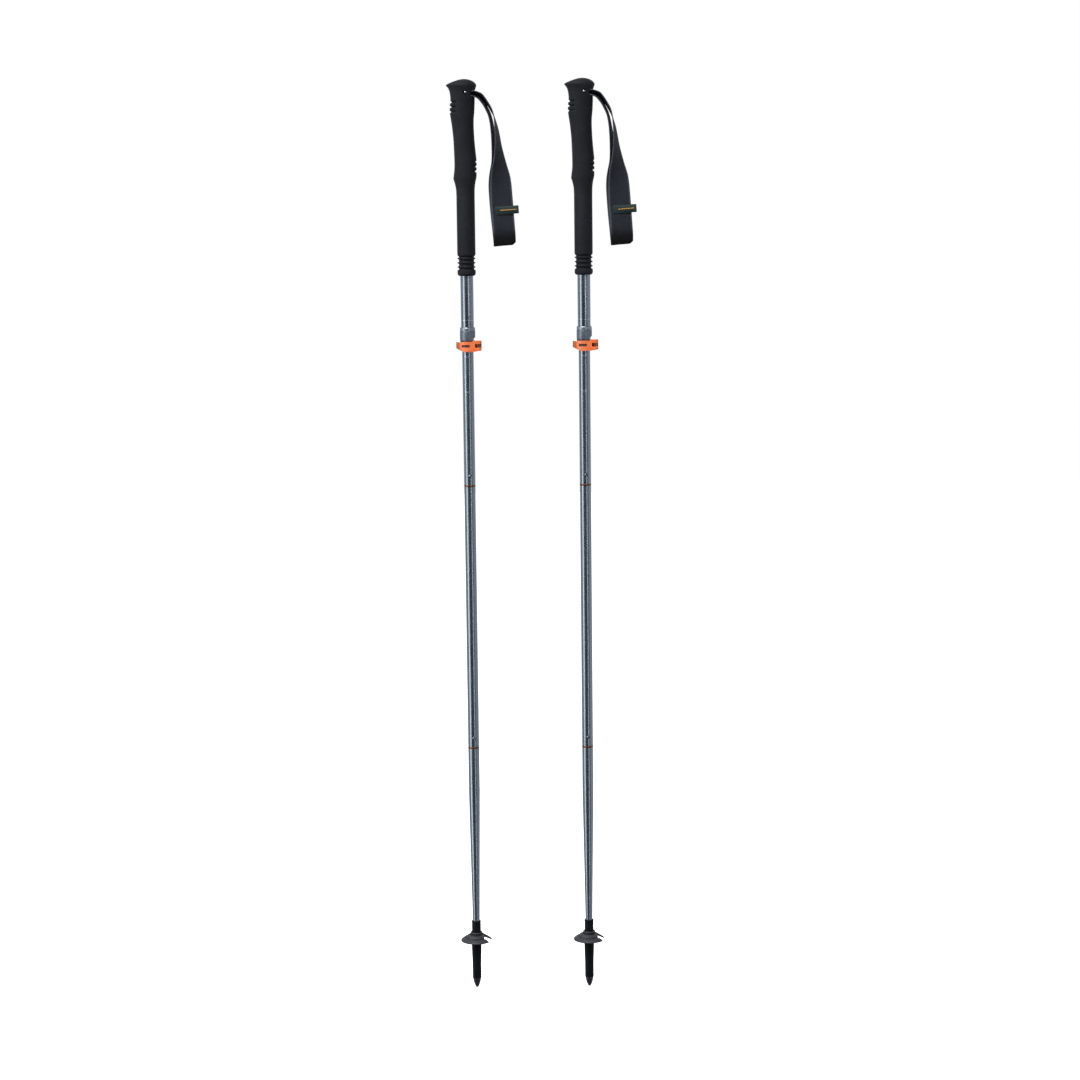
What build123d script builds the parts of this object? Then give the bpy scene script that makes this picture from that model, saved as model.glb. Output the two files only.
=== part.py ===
from build123d import *
from math import cos, radians, sin
import os

# A pair of folding trekking poles. Each has a lever clamp that sets its length and two
# snap-button joints where it comes apart and folds. Units are millimetres and Z is up. The tips
# stand at z = 0, and +X runs from the left pole to the right one. Each pole is modelled on its
# own axis, x = y = 0, with its straight front edge towards -X and its strap towards +X.

# Overall
POLE_LENGTH = 1300.0
POLE_SPACING = 163.5
HEAD_REACH = 25.0
LABEL_REACH = 74.2
LEFT_X = -(POLE_SPACING + LABEL_REACH - HEAD_REACH) / 2
RIGHT_X = LEFT_X + POLE_SPACING
BASKET_TURN = {"left": -15.5, "right": -10.0}

# Tubes
UPPER_TUBE_R = 9.0
UPPER_TUBE_BORE = 8.08
UPPER_TUBE_LOW = 940.5
UPPER_TUBE_HIGH = 1258.0
SHAFT_R = 8.0
SHAFT_BORE = 7.0
SHAFT_A_TOP = 1096.0
JOINT_1 = 735.8
JOINT_2 = 357.8
SEAT_DEPTH = 2.1
TAPER_TOP = 290.0
TAPER_LOW = 100.0
SHAFT_C_LOW = 55.0
SHAFT_C_END_R = 5.15

# Grip
CAP_BOTTOM = 1268.0
GRIP_BOTTOM = 1140.0
FOAM_R = 12.75
CUFF_BOTTOM = 1029.6
CUFF_GROOVE_R = 10.6
CUFF_RIBS = (1041.9, 1047.8, 1053.8)

# Strap pin and webbing
PIN_X = 2.0
PIN_Z = 1281.7
PIN_R = 1.5
PIN_HALF = 14.6
WEBBING = 1.5
WEBBING_TOP_WIDTH = 20.0
WEBBING_LOW_WIDTH = 30.5
LOOP_HALF_GAP = 7.0
TWIST_TOP = 1262.0
TWIST_BOTTOM = 1150.0
LOOP_BOTTOM = 1071.0

# Lever clamp
CLAMP_LOW = 925.5
CLAMP_HIGH = 939.5
BAND_BORE = 8.06
BAND_R = 10.5
EAR_HALF = 4.4
EYE_X = 15.0
EYE_Y = -9.0
EYE_Z = 932.5
EYE_R = 3.0
SCREW_R = 1.5
LEVER_PIN_R = 1.25
CAM_R = 4.35
LEVER_INNER_R = 11.2
LEVER_OUTER_R = 14.0

# Snap-button joints
SPIGOT_R = 6.93
SPIGOT_BORE = 5.9
SPIGOT_ENGAGED = 36.0
REGISTER_R = 6.1
REGISTER_DEPTH = 4.1
RING_R = 8.25
BUTTON_RISE = 13.3
BUTTON_R = 2.4
BUTTON_TOP_Y = 6.85

# Cord
CORD_R = 1.25
KNOT_R = 2.6
ANCHOR_LOW = 800.0
ANCHOR_HIGH = 812.0
CORD_SPLIT = 690.0
CORD_END = 300.0

# Tip and basket
PLUG_R = 6.35
PLUG_LOW = 14.4
PLUG_HIGH = 34.4
FLANGE_TOP = 70.8
SLEEVE_TOP = 99.9
BASKET_R = 22.5
HUB_R = 8.9
NOTCH_WIDTH = 15.5
NOTCH_INNER = 11.2

UP = (Align.CENTER, Align.CENTER, Align.MIN)


def rod(radius, low, high):
    """A round bar on the pole's axis between two heights."""
    return Pos(0, 0, low) * Cylinder(radius, high - low, align=UP)


def tube(radius, bore, low, high):
    """A round tube on the pole's axis between two heights."""
    return rod(radius, low, high) - rod(bore, low, high)


def turned(*corners):
    """A solid turned about the pole's axis from its (radius, height) corners."""
    outline = make_face(Polyline(*[(r, 0, z) for r, z in corners], close=True))
    return revolve(outline, Axis.Z)


def block(x, y, z):
    """A box from its low and high limits along each axis."""
    size = [high - low for low, high in (x, y, z)]
    centre = [(low + high) / 2 for low, high in (x, y, z)]
    return Pos(*centre) * Box(*size)


def cross_bar(x, z, radius, back, front):
    """A round bar along Y, from y = back to y = front."""
    bar = Cylinder(radius, front - back, align=UP)
    return Pos(x, back, z) * Rot(-90, 0, 0) * bar


def side_profile(corners, half_width):
    """A plate with its outline in the XZ plane, given as (x, z) corners, and its width along Y."""
    face = make_face(Polyline(*[(x, 0, z) for x, z in corners], close=True))
    return extrude(face, amount=half_width, dir=(0, 1, 0), both=True)


def plan_profile(corners, low, high):
    """A plate with its outline in the XY plane, between two heights."""
    face = make_face(Polyline(*[(x, y, low) for x, y in corners], close=True))
    return extrude(face, amount=high - low, dir=(0, 0, 1))


def ovals(sections):
    """A body through ovals, each given as (height, front x, back x, half width)."""
    faces = []
    for height, front, back, half in sections:
        middle = Plane(origin=((front + back) / 2, 0, height))
        faces.append(middle * Ellipse((back - front) / 2, half))
    return loft(faces, ruled=True)


# Grip


def head_cap():
    """The mushroom head: a dome with a sharp front lip, the strap slot and the pin's recesses."""
    head = ovals(
        [
            (CAP_BOTTOM, -18.0, 14.6, 14.4),
            (1278.0, -19.3, 14.8, 14.8),
            (1284.0, -20.4, 15.2, 15.2),
            (1287.0, -21.9, 15.9, 15.6),
            (1289.8, -23.7, 17.2, 16.0),
            (1292.6, -HEAD_REACH, 17.3, 16.0),
            (1295.4, -22.6, 15.8, 14.6),
            (1298.3, -16.2, 11.0, 10.6),
            (POLE_LENGTH, -8.0, 4.5, 5.4),
        ]
    )
    mouth = [(PIN_X, 1286.0), (24, 1286.0), (24, 1273.6), (PIN_X, 1277.4)]
    slot = side_profile(mouth, 11.0) + cross_bar(PIN_X, PIN_Z, 4.3, -11.0, 11.0)
    head -= slot
    head -= cross_bar(PIN_X, PIN_Z, PIN_R + 0.02, -20.0, 20.0)
    for back, front in ((-20.0, -13.2), (13.2, 20.0)):
        head -= cross_bar(PIN_X, PIN_Z, 3.2, back, front)
    return head


def grip():
    """The hand grip, with a group of ribs on the front and another on the back."""
    ribs = []
    for tooth in (1264.6, 1258.3, 1252.0):
        ribs += [(tooth, -20.3, 14.1, 14.2), (tooth - 3.2, -18.9, 13.7, 14.0)]
    back_ribs = []
    for tooth in (1190.0, 1183.5, 1177.0):
        back_ribs += [(tooth, -14.7, 16.1, 13.5), (tooth - 3.2, -14.8, 14.4, 13.4)]
    body = ovals(
        [
            (CAP_BOTTOM, -18.0, 14.6, 14.4),
            *ribs,
            (1244.0, -18.6, 12.9, 13.6),
            (1235.0, -17.4, 12.8, 13.4),
            (1218.0, -15.8, 13.5, 13.4),
            (1201.0, -15.1, 14.9, 13.4),
            *back_ribs,
            (1166.5, -16.2, 15.7, 13.6),
            (1163.5, -16.5, 15.2, 13.5),
            (1158.5, -14.8, 14.0, 13.2),
            (1150.0, -13.2, 13.0, 12.9),
            (GRIP_BOTTOM, -FOAM_R, FOAM_R, FOAM_R - 0.02),
        ]
    )
    return body - rod(UPPER_TUBE_R, GRIP_BOTTOM, UPPER_TUBE_HIGH)


def grip_extension():
    """The round lower grip, ending in a cuff with thin ribs and a thick end ring."""
    top = GRIP_BOTTOM
    outline = [(UPPER_TUBE_R, CUFF_BOTTOM), (CUFF_GROOVE_R, CUFF_BOTTOM)]
    outline += [(12.2, 1031.2), (FOAM_R, 1032.6), (FOAM_R, 1037.4), (CUFF_GROOVE_R, 1038.4)]
    for rib in CUFF_RIBS:
        outline += [(CUFF_GROOVE_R, rib - 1.6), (12.4, rib - 0.7)]
        outline += [(12.4, rib + 0.7), (CUFF_GROOVE_R, rib + 1.6)]
    outline += [(CUFF_GROOVE_R, 1056.4), (12.2, 1057.6), (FOAM_R, 1059.4), (FOAM_R, top)]
    return turned(*outline, (UPPER_TUBE_R, top))


# Strap


def strap_pin():
    """The cross pin that the webbing goes round."""
    return cross_bar(PIN_X, PIN_Z, PIN_R, -PIN_HALF, PIN_HALF)


def strap_root():
    """The webbing inside the head: round the pin and out to the slot's mouth in two layers."""
    half = WEBBING_TOP_WIDTH / 2
    inner = PIN_R + 0.3
    outer = inner + WEBBING
    turn = cross_bar(PIN_X, PIN_Z, outer, -half, half)
    upper = [(PIN_X, PIN_Z + inner), (PIN_X, PIN_Z + outer), (18.0, 1284.4), (18.0, 1282.9)]
    lower = [(PIN_X, PIN_Z - inner), (PIN_X, PIN_Z - outer), (17.4, 1275.2), (17.4, 1276.8)]
    layers = side_profile(upper, half) + side_profile(lower, half)
    space = [(PIN_X, PIN_Z + inner), (18.5, 1282.9), (17.9, 1276.8), (PIN_X, PIN_Z - inner)]
    root = turn + layers - side_profile(space, half + 1)
    return root - cross_bar(PIN_X, PIN_Z, inner, -half - 1, half + 1)


def twist_share(height):
    """How far the webbing has turned from edge-on, at the top, to face-on, lower down."""
    share = (TWIST_TOP - height) / (TWIST_TOP - TWIST_BOTTOM)
    return min(1.0, max(0.0, share))


def leg_station(x, height, side):
    """A place along one leg: its centre, how far it has twisted in degrees, and its width."""
    share = twist_share(height)
    gap = LOOP_HALF_GAP * share * share * (3 - 2 * share)
    width = WEBBING_TOP_WIDTH + (WEBBING_LOW_WIDTH - WEBBING_TOP_WIDTH) * share
    return Vector(x, side * gap, height), 90 * share**2, width


def strap():
    """The wrist loop: out of the head edge-on, twisted face-on, and folded back at the bottom."""
    outer_leg = [(19.0, 1283.7), (25.0, 1281.4), (30.0, 1275.2), (34.0, 1266.0)]
    outer_leg += [(39.6, 1252.0), (43.4, 1235.0), (45.8, 1218.0), (47.6, 1201.0)]
    outer_leg += [(49.6, 1184.0), (50.6, 1166.5), (50.4, 1149.0), (50.8, 1132.0)]
    outer_leg += [(52.2, 1115.0), (53.4, 1098.0), (54.6, 1082.0)]
    inner_leg = [(52.8, 1082.0), (51.2, 1098.0), (49.8, 1115.0), (48.4, 1132.0)]
    inner_leg += [(47.6, 1149.0), (46.8, 1166.5), (44.6, 1184.0), (41.0, 1201.0)]
    inner_leg += [(37.8, 1218.0), (34.8, 1235.0), (30.6, 1252.0), (26.4, 1263.0)]
    inner_leg += [(23.0, 1270.6), (19.4, 1275.4)]
    stations = [leg_station(x, z, -1) for x, z in outer_leg]
    for angle in (35, 90, 145):
        y = -LOOP_HALF_GAP * cos(radians(angle))
        height = LOOP_BOTTOM + LOOP_HALF_GAP * (1.1 - sin(radians(angle)))
        stations.append((Vector(54.2, y, height), 90, WEBBING_LOW_WIDTH))
    stations += [leg_station(x, z, 1) for x, z in inner_leg]
    faces = []
    for n, (centre, twist, width) in enumerate(stations):
        before = stations[max(n - 1, 0)][0]
        after = stations[min(n + 1, len(stations) - 1)][0]
        along = (after - before).normalized()
        across = Vector(sin(radians(twist)), cos(radians(twist)), 0)
        across -= along * across.dot(along)
        plane = Plane(origin=centre, x_dir=across.normalized(), z_dir=along)
        faces.append(plane * Rectangle(width, WEBBING))
    return loft(faces, ruled=True)


def strap_label():
    """The flat tab sewn across the front of the loop, standing out past its edge."""
    front = -LOOP_HALF_GAP - WEBBING / 2
    return block((40.9, LABEL_REACH), (front - 1.6, front - 0.35), (1113.4, 1126.6))


# Upper tube and clamp


def collar():
    """The grey sleeve on the upper tube's end, its lower back corner cut off at a slant."""
    sleeve = turned(
        (UPPER_TUBE_R, 939.9), (10.75, 939.9), (10.75, 956.2), (10.1, 958.0), (UPPER_TUBE_R, 958.0)
    )
    return sleeve - side_profile([(3.5, 939.0), (13.0, 939.0), (13.0, 945.5)], 15.0)


def clamp_band():
    """A split ring round the inner tube, with two ears that the screw draws together."""
    band = rod(BAND_R, CLAMP_LOW, CLAMP_HIGH)
    band += block((7.0, 19.3), (-EAR_HALF, EAR_HALF), (926.5, 938.5))
    band -= rod(BAND_BORE, CLAMP_LOW, CLAMP_HIGH)
    band -= block((6.0, 20.0), (-0.8, 0.8), (CLAMP_LOW - 1, CLAMP_HIGH + 1))
    return band - cross_bar(EYE_X, EYE_Z, SCREW_R + 0.1, -6.0, 6.0)


def tension_screw():
    """An eye bolt: the eye turns on the lever's pin and the shank goes through both ears."""
    eye = Pos(EYE_X, EYE_Y, EYE_Z) * Cylinder(EYE_R, 4.6)
    shank = cross_bar(EYE_X, EYE_Z, SCREW_R, EYE_Y, 9.2)
    hole = Pos(EYE_X, EYE_Y, EYE_Z) * Cylinder(LEVER_PIN_R, 6.0)
    return eye + shank - hole


def lever_pin():
    """The upright pin through the lever's fork and the screw's eye."""
    return Pos(EYE_X, EYE_Y, 926.6) * Cylinder(LEVER_PIN_R, 12.4, align=UP)


def barrel_nut():
    """The round nut behind the ears, with a driver slot across it."""
    nut = cross_bar(EYE_X, EYE_Z, 3.3, EAR_HALF, 8.4)
    nut -= block((EYE_X - 4, EYE_X + 4), (7.6, 9.0), (EYE_Z - 0.5, EYE_Z + 0.5))
    return nut - cross_bar(EYE_X, EYE_Z, SCREW_R, EAR_HALF - 1, 10.0)


def clamp_lever():
    """The lever: a cam block in a fork over the eye, and an arm round the front to a thumb tab."""
    low, high = 924.0, 939.7
    arm = tube(LEVER_OUTER_R, LEVER_INNER_R, low, high)
    arm -= block((-20.0, 20.0), (-1.2, 20.0), (low - 1, high + 1))
    arm -= block((9.0, 20.0), (-20.0, 20.0), (low - 1, high + 1))
    tab = [(-11.2, -1.6), (-13.9, -3.0), (-16.4, 3.0), (-16.0, 5.8), (-14.5, 6.0), (-11.9, 1.5)]
    cheek = [(6.4, -9.7), (9.8, -5.8), (10.3, -4.65), (15.0, -4.65), (19.3, -9.0)]
    cheek += [(15.0, -13.35), (3.0, -13.6), (2.0, -12.4)]
    lever = arm + plan_profile(tab, low, high) + plan_profile(cheek, low, high)
    lever += Pos(EYE_X, EYE_Y, low) * Cylinder(CAM_R, high - low, align=UP)
    side = [(-17.0, 928.9), (-17.0, 937.4), (-12.0, 937.0), (-9.0, 938.2), (7.0, 938.2)]
    side += [(8.4, high), (20.0, high), (20.0, 926.0), (9.0, 924.3), (-5.0, low)]
    lever &= side_profile(side, 20.0)
    lever -= block((10.6, 20.0), (-20.0, 0.0), (930.0, 935.0))
    lever -= Pos(EYE_X, EYE_Y, low - 1) * Cylinder(LEVER_PIN_R + 0.08, 20.0, align=UP)
    pocket = tube(LEVER_OUTER_R + 2, LEVER_OUTER_R - 1, 930.4, 933.8)
    return lever - (pocket & block((-8.0, 3.0), (-20.0, 0.0), (930.0, 934.0)))


def upper_tube():
    """The outer tube: its top is inside the grip and its bottom inside the collar."""
    return tube(UPPER_TUBE_R, UPPER_TUBE_BORE, UPPER_TUBE_LOW, UPPER_TUBE_HIGH)


# Shafts and joints


def shaft_a():
    """The sliding tube, with the first button's hole in its front."""
    body = tube(SHAFT_R, SHAFT_BORE, JOINT_1, SHAFT_A_TOP)
    return body - cross_bar(0, JOINT_1 + BUTTON_RISE, BUTTON_R + 0.3, -10.0, -4.0)


def shaft_b():
    """The middle tube, with the second button's hole in its front."""
    body = tube(SHAFT_R, SHAFT_BORE, JOINT_2, JOINT_1 - SEAT_DEPTH)
    return body - cross_bar(0, JOINT_2 + BUTTON_RISE, BUTTON_R + 0.3, -10.0, -4.0)


def shaft_c():
    """The lowest tube: straight, then tapered down into the tip sleeve."""
    wall = SHAFT_R - SHAFT_BORE
    top = JOINT_2 - SEAT_DEPTH
    outer = [(SHAFT_C_END_R, SHAFT_C_LOW), (SHAFT_C_END_R, TAPER_LOW), (SHAFT_R, TAPER_TOP)]
    outer += [(SHAFT_R, top)]
    inner = [(r - wall, z) for r, z in reversed(outer)]
    return turned(*outer, *inner)


def spigot(joint):
    """The sleeve that plugs into the tube above, with a short register for the tube below."""
    step = joint + 3.0
    body = turned(
        (REGISTER_R - 1.2, joint - REGISTER_DEPTH),
        (REGISTER_R, joint - REGISTER_DEPTH),
        (REGISTER_R, joint),
        (SPIGOT_R, joint),
        (SPIGOT_R, joint + SPIGOT_ENGAGED),
        (SPIGOT_BORE, joint + SPIGOT_ENGAGED),
        (SPIGOT_BORE, step),
        (REGISTER_R - 1.2, step),
    )
    return body - cross_bar(0, joint + BUTTON_RISE, BUTTON_R + 0.1, -10.0, -3.0)


def snap_button(joint):
    """The domed button on its curved leaf spring."""
    height = joint + BUTTON_RISE
    dome = turned((0, 0), (BUTTON_R, 0), (BUTTON_R, 1.6), (2.0, 2.5), (1.2, 3.1), (0, 3.25))
    dome = Pos(0, 3.25 - BUTTON_TOP_Y, height) * Rot(90, 0, 0) * dome
    leaf = tube(SPIGOT_BORE - 0.1, SPIGOT_BORE - 0.6, height - 2.5, height + 2.5)
    leaf -= block((-8.0, 8.0), (-1.6, 8.0), (height - 3, height + 3))
    return leaf + dome


def joint_ring(joint):
    """The coloured ring between two tubes, and the bush that lines the lower tube's mouth."""
    return turned(
        (REGISTER_R + 0.5, joint - 16.0),
        (SHAFT_BORE - 0.02, joint - 16.0),
        (SHAFT_BORE - 0.02, joint - SEAT_DEPTH),
        (RING_R, joint - SEAT_DEPTH),
        (RING_R, joint - 0.1),
        (REGISTER_R + 0.5, joint - 0.1),
    )


def cord_anchor():
    """The plug inside the sliding tube that the elastic cord hangs from."""
    return tube(SHAFT_BORE - 0.05, CORD_R + 0.1, ANCHOR_LOW, ANCHOR_HIGH)


def cord_1():
    """The cord's first span, from its knot on the anchor to the middle of the middle tube."""
    return rod(CORD_R, CORD_SPLIT, ANCHOR_HIGH) + rod(KNOT_R, ANCHOR_HIGH, ANCHOR_HIGH + 4)


def cord_2():
    """The cord's second span, down to its knot in the lowest tube."""
    return rod(CORD_R, CORD_END, CORD_SPLIT) + rod(KNOT_R, CORD_END - 4, CORD_END)


# Tip


def tip_sleeve():
    """The moulded lower end: a tapered sleeve with a seat and a snap ridge for the basket."""
    return turned(
        (3.5, PLUG_LOW),
        (PLUG_R, PLUG_LOW),
        (PLUG_R, PLUG_HIGH),
        (7.1, 59.0),
        (7.1, FLANGE_TOP),
        (6.5, FLANGE_TOP),
        (6.5, 75.9),
        (6.9, 76.4),
        (6.9, 77.0),
        (6.5, 77.5),
        (6.5, SLEEVE_TOP),
        (SHAFT_C_END_R, SLEEVE_TOP),
        (SHAFT_C_END_R, SHAFT_C_LOW),
        (0, SHAFT_C_LOW),
        (0, 30.0),
        (3.5, 30.0),
    )


def tip_ferrule():
    """The cone that holds the carbide point, with its stem up inside the sleeve."""
    cone = [(2.3, 1.8), (2.6, 1.8), (3.7, 4.3), (4.55, 7.2), (5.25, 10.0), (5.8, 12.9)]
    cone += [(6.1, PLUG_LOW), (3.5, PLUG_LOW), (3.5, 30.0), (0, 30.0), (0, 12.0), (2.3, 12.0)]
    return turned(*cone)


def carbide_tip():
    """The hard point, hollowed at its end so that its rim bites."""
    return turned((0, 1.0), (1.5, 0), (2.1, 0), (2.3, 1.0), (2.3, 12.0), (0, 12.0))


def basket():
    """The umbrella basket: a hub, a stepped cone and a notch cut in from its rim."""
    bore = 6.58
    cone = turned(
        (bore, 71.0),
        (HUB_R, 71.0),
        (HUB_R, 78.4),
        (15.0, 75.6),
        (BASKET_R, 71.9),
        (BASKET_R, 73.0),
        (15.9, 76.6),
        (15.4, 76.4),
        (14.6, 77.6),
        (10.0, 80.0),
        (HUB_R, 79.8),
        (HUB_R, 82.4),
        (8.4, 83.0),
        (bore, 83.0),
        (bore, 78.0),
        (7.0, 77.6),
        (7.0, 75.8),
        (bore, 75.4),
    )
    half = NOTCH_WIDTH / 2
    notch = Pos(NOTCH_INNER + half, 0, 60.0) * Cylinder(half, 30.0, align=UP)
    notch += block((NOTCH_INNER + half, 30.0), (-half, half), (60.0, 90.0))
    return cone - notch


def pole(side):
    """Every piece of one pole, by name."""
    return {
        "head_cap": head_cap(),
        "grip": grip(),
        "grip_extension": grip_extension(),
        "strap_pin": strap_pin(),
        "strap_root": strap_root(),
        "strap": strap(),
        "strap_label": strap_label(),
        "upper_tube": upper_tube(),
        "collar": collar(),
        "clamp_band": clamp_band(),
        "tension_screw": tension_screw(),
        "lever_pin": lever_pin(),
        "barrel_nut": barrel_nut(),
        "clamp_lever": clamp_lever(),
        "shaft_a": shaft_a(),
        "cord_anchor": cord_anchor(),
        "cord_1": cord_1(),
        "spigot_1": spigot(JOINT_1),
        "snap_button_1": snap_button(JOINT_1),
        "joint_ring_1": joint_ring(JOINT_1),
        "shaft_b": shaft_b(),
        "cord_2": cord_2(),
        "spigot_2": spigot(JOINT_2),
        "snap_button_2": snap_button(JOINT_2),
        "joint_ring_2": joint_ring(JOINT_2),
        "shaft_c": shaft_c(),
        "tip_sleeve": tip_sleeve(),
        "tip_ferrule": tip_ferrule(),
        "carbide_tip": carbide_tip(),
        "basket": Rot(0, 0, BASKET_TURN[side]) * basket(),
    }


os.makedirs("parts", exist_ok=True)
for side, place in (("left", LEFT_X), ("right", RIGHT_X)):
    for name, piece in pole(side).items():
        export_step(Pos(place, 0, 0) * piece, f"parts/{side}_{name}.step")
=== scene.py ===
import bmesh
import bpy
from math import cos, exp, pi, radians, sin
from mathutils import Matrix, Quaternion, Vector


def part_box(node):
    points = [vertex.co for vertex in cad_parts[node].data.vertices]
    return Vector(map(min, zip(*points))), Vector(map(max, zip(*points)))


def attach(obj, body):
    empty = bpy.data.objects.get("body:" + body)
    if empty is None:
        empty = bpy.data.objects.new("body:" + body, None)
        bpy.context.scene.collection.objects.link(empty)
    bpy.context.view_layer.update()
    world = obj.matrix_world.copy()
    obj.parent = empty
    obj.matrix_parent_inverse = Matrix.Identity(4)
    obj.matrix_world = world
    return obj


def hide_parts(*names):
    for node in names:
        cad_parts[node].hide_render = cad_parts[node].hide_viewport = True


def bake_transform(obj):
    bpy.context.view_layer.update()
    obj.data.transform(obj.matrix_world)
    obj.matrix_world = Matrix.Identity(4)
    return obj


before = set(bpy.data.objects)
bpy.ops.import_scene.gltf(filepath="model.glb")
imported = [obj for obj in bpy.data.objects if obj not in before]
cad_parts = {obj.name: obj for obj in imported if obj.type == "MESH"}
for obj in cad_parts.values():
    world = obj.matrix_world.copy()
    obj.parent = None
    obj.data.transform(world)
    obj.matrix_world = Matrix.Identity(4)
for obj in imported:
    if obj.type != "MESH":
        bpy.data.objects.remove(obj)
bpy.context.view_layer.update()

# A pole is built in millimetres on its own axis, with its head's lip towards -X and the side that
# the camera sees towards -Y. Both poles share each mesh, apart from the strap, cords and basket.

MM = 0.001
SIDES = ("left", "right")
ROUND = 96  # sides of a round part
SPIGOT_RISE = 36.0  # how far a spigot reaches above its joint
BUTTON_RISE = 13.3  # how far a snap button is above its joint
PIN_X, PIN_Z = 2.0, 1281.7  # the strap pin's axis
UPPER_R = 9.0  # the upper tube's outer radius
SHAFT_R, SHAFT_BORE = 8.0, 7.0  # the sliding and middle tubes' radii


def axis_x(side):
    """The x of a pole's axis, in metres, from its round sliding tube."""
    low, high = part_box(f"{side}_shaft_a")
    return (low.x + high.x) / 2


def heights(node):
    """The lowest and highest z of a node of the left pole, in millimetres."""
    low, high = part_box(f"left_{node}")
    return low.z / MM, high.z / MM


AXIS = {side: axis_x(side) for side in SIDES}
CAP_LOW, HEAD_TOP = heights("head_cap")
GRIP_LOW = heights("grip")[0]
JOINTS = {number: heights(f"spigot_{number}")[1] - SPIGOT_RISE for number in (1, 2)}


# Shape helpers


def shown(name, data):
    """A new object in the scene."""
    made = bpy.data.objects.new(name, data)
    bpy.context.scene.collection.objects.link(made)
    return made


def circle(count):
    """The angles of a ring of points."""
    return [2 * pi * n / count for n in range(count)]


def meshed(name, shape):
    """A mesh from a bmesh, which is then freed."""
    mesh = bpy.data.meshes.new(name)
    shape.to_mesh(mesh)
    shape.free()
    return mesh


def evaluated(main, *helpers):
    """An object's mesh with its modifiers applied. The object and its helpers are then removed."""
    graph = bpy.context.evaluated_depsgraph_get()
    mesh = bpy.data.meshes.new_from_object(main.evaluated_get(graph))
    for extra in (main, *helpers):
        bpy.data.objects.remove(extra)
    return mesh


def rounded(corners, radius, steps=3):
    """A closed outline with its corners eased by short curves, except where it meets the axis."""
    outline = []
    count = len(corners)
    for n, corner in enumerate(corners):
        here = Vector(corner)
        before = Vector(corners[n - 1]) - here
        after = Vector(corners[(n + 1) % count]) - here
        if here.x == 0:
            outline.append(tuple(here))
            continue
        start = here + before * min(0.45, radius / before.length)
        end = here + after * min(0.45, radius / after.length)
        for step in range(steps + 1):
            t = step / steps
            point = start * (1 - t) ** 2 + here * 2 * t * (1 - t) + end * t * t
            outline.append(tuple(point))
    return outline


def eased(stations, steps):
    """Rows of numbers, with smooth rows put in between (a Catmull-Rom curve)."""
    rows = []
    last = len(stations) - 1
    for n in range(last):
        around = [stations[min(max(n + k, 0), last)] for k in (-1, 0, 1, 2)]
        for step in range(steps):
            t = step / steps
            row = []
            for p, q, r, s in zip(*around):
                bend = 2 * p - 5 * q + 4 * r - s
                turn = 3 * q - p - 3 * r + s
                row.append(0.5 * (2 * q + (r - p) * t + bend * t * t + turn * t**3))
            rows.append(tuple(row))
    return rows + [stations[-1]]


def smoothstep(low, high, value):
    """0 below low, 1 above high and smooth between them; low may be the greater."""
    t = min(1.0, max(0.0, (value - low) / (high - low)))
    return t * t * (3 - 2 * t)


def finished(mesh, sharp=32.0):
    """Smooth shading, with edges kept where faces meet at more than that angle."""
    mesh.shade_smooth()
    mesh.set_sharp_from_angle(angle=radians(sharp))
    mesh.validate()
    return mesh


def ring_mesh(name, rings, looped=False, sharp=32.0):
    """A mesh through rings of points in millimetres. A ring of one point closes an end; an
    end with more is capped, unless the last ring joins the first."""
    shape = bmesh.new()
    made = [[shape.verts.new(Vector(p) * MM) for p in ring] for ring in rings]
    pairs = list(zip(made, made[1:])) + ([(made[-1], made[0])] if looped else [])
    for lower, upper in pairs:
        wide = max(len(lower), len(upper))
        for n in range(wide):
            m = (n + 1) % wide
            corners = [lower[n % len(lower)], lower[m % len(lower)]]
            corners += [upper[m % len(upper)], upper[n % len(upper)]]
            face = list(dict.fromkeys(corners))
            if len(face) > 2:
                shape.faces.new(face)
    if not looped:
        for ring in (made[0], made[-1]):
            if len(ring) > 2:
                shape.faces.new(ring)
    bmesh.ops.recalc_face_normals(shape, faces=shape.faces)
    return finished(meshed(name, shape), sharp)


def lathe(name, outline, ease, segments=ROUND, spin=None):
    """A solid turned about the axis from its closed outline of (radius, height) corners."""
    rings = []
    for r, z in rounded(outline, ease) if ease else outline:
        if r <= 0:
            rings.append([(0, 0, z)])
            continue
        rings.append([(r * cos(a), r * sin(a), z) for a in circle(segments)])
    mesh = ring_mesh(name, rings, looped=min(r for r, z in outline) > 0)
    if spin:
        mesh.transform(spin)
    return mesh


def turned_to_y(x, z):
    """Where a lathe's axis is laid along Y, through that x and z, its foot towards the camera."""
    return Matrix.Translation(Vector((x, 0, z)) * MM) @ Matrix.Rotation(radians(-90), 4, "X")


def cut(mesh, *cutters):
    """The mesh less the cutters."""
    body = shown("cut_body", mesh)
    tools = []
    for cutter in cutters:
        tool = shown("cut_tool", cutter)
        tools.append(tool)
        step = body.modifiers.new("cut", "BOOLEAN")
        step.operation = "DIFFERENCE"
        step.solver = "EXACT"
        step.object = tool
    result = evaluated(body, *tools)
    result.name = mesh.name
    return finished(result)


def prism(corners, back, front):
    """A plate with its outline in the XZ plane, between two y limits in millimetres."""
    rings = [[(x, y, z) for x, z in corners] for y in (back, front)]
    return ring_mesh("prism", rings)


def bar(x, z, radius, back, front):
    """A round bar along Y, for cutting."""
    edge = [(x + radius * cos(a), z + radius * sin(a)) for a in circle(48)]
    rings = [[(px, y, pz) for px, pz in edge] for y in (back, front)]
    return ring_mesh("bar", rings)


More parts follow.
